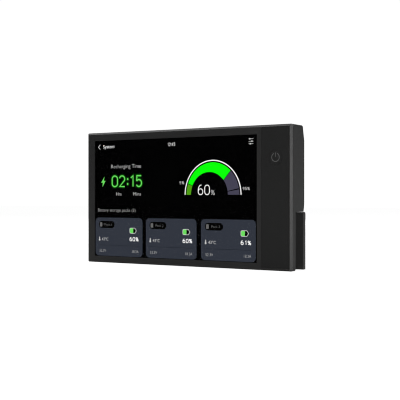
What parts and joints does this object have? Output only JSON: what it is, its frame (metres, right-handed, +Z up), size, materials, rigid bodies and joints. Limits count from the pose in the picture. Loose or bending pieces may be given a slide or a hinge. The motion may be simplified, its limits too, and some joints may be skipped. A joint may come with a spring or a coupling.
{
  "type": "battery system touch console",
  "caption": "Wide touch-screen control console for a home battery system, with a side strip, a power button, a cable bay and a fold-out rear stand.",
  "frame": {"origin": "middle of the footprint, on the surface the console stands on", "axes": "+X to the right seen from the front, +Y back from the display, +Z up; the display faces -Y"},
  "size_m": [0.2144, 0.0268, 0.122],
  "materials": {
    "frame_plastic": "fine satin texture, near-black grey",
    "cover_glass": "flat, glossy with a low-reflection coating",
    "touch_film": "clear film bonded to the glass",
    "foam": "soft foam",
    "display_cell": "black when unlit, with a lit colour picture",
    "light_guide": "clear",
    "tray_steel": "pressed, bright",
    "strip_plastic": "fine matt texture",
    "button_plastic": "fine matt texture",
    "icon_light": "smoked translucent",
    "switch_plastic": "moulded",
    "switch_metal": "pressed",
    "circuit_board": "solder mask over glass fibre",
    "lamp": "clear resin",
    "housing_plastic": "satin, fine spark texture",
    "label": "blank silver foil",
    "chip_plastic": "moulded",
    "spreader_aluminium": "extruded",
    "brass": "turned",
    "screw_steel": "zinc plated",
    "dark_screw": "blackened",
    "socket_plastic": "moulded",
    "gold_contact": "gold plated",
    "cell_steel": "polished",
    "flex_film": "amber film over copper",
    "magnet_nickel": "nickel plated",
    "foot_rubber": "soft, matt",
    "stand_plastic": "satin, fine spark texture",
    "pin_steel": "ground"
  },
  "bodies": {
    "console": {"front_frame": "frame_plastic", "cover_glass": "cover_glass", "touch_sensor": "touch_film", "glass_gasket": "foam", "lcd_panel": "display_cell", "light_guide": "light_guide", "lcd_back_plate": "tray_steel", "side_panel": "strip_plastic", "power_switch": "switch_metal", "button_board": "circuit_board", "power_led": "lamp", "rear_housing": "housing_plastic", "rating_label": "label", "main_board": "circuit_board", "board_parts": "chip_plastic", "processor_shield": "tray_steel", "heat_spreader": "spreader_aluminium", "board_standoffs": "brass", "board_screws": "screw_steel", "case_screws": "dark_screw", "comm_socket_left": "socket_plastic", "comm_socket_right": "socket_plastic", "socket_contacts": "gold_contact", "clock_battery": "cell_steel", "battery_holder": "socket_plastic", "speaker": "socket_plastic", "radio_antenna": "flex_film", "display_ribbon": "flex_film", "touch_ribbon": "flex_film", "button_ribbon": "flex_film", "mount_inserts": "brass", "housing_magnets": "magnet_nickel", "base_feet": "foot_rubber", "hinge_bush_left": "brass", "hinge_bush_right": "brass"},
    "button": {"power_button": "button_plastic", "power_icon": "icon_light", "switch_plunger": "switch_plastic"},
    "stand_plate": {"stand": "stand_plastic", "stand_feet": "foot_rubber", "stand_magnets": "magnet_nickel", "hinge_pin_left": "pin_steel", "hinge_pin_right": "pin_steel"}
  },
  "joints": [
    {"name": "button_press", "type": "slide", "parent": "console", "child": "button", "axis": [0, 1, 0], "range_m": [0, 0.0004], "stiffness_N_per_m": 4000, "springref_m": -0.0001},
    {"name": "stand_hinge", "type": "hinge", "parent": "console", "child": "stand_plate", "pos_m": [0, 0.0112, 0.0467], "axis": [1, 0, 0], "range_deg": [0, 70]}
  ]
}
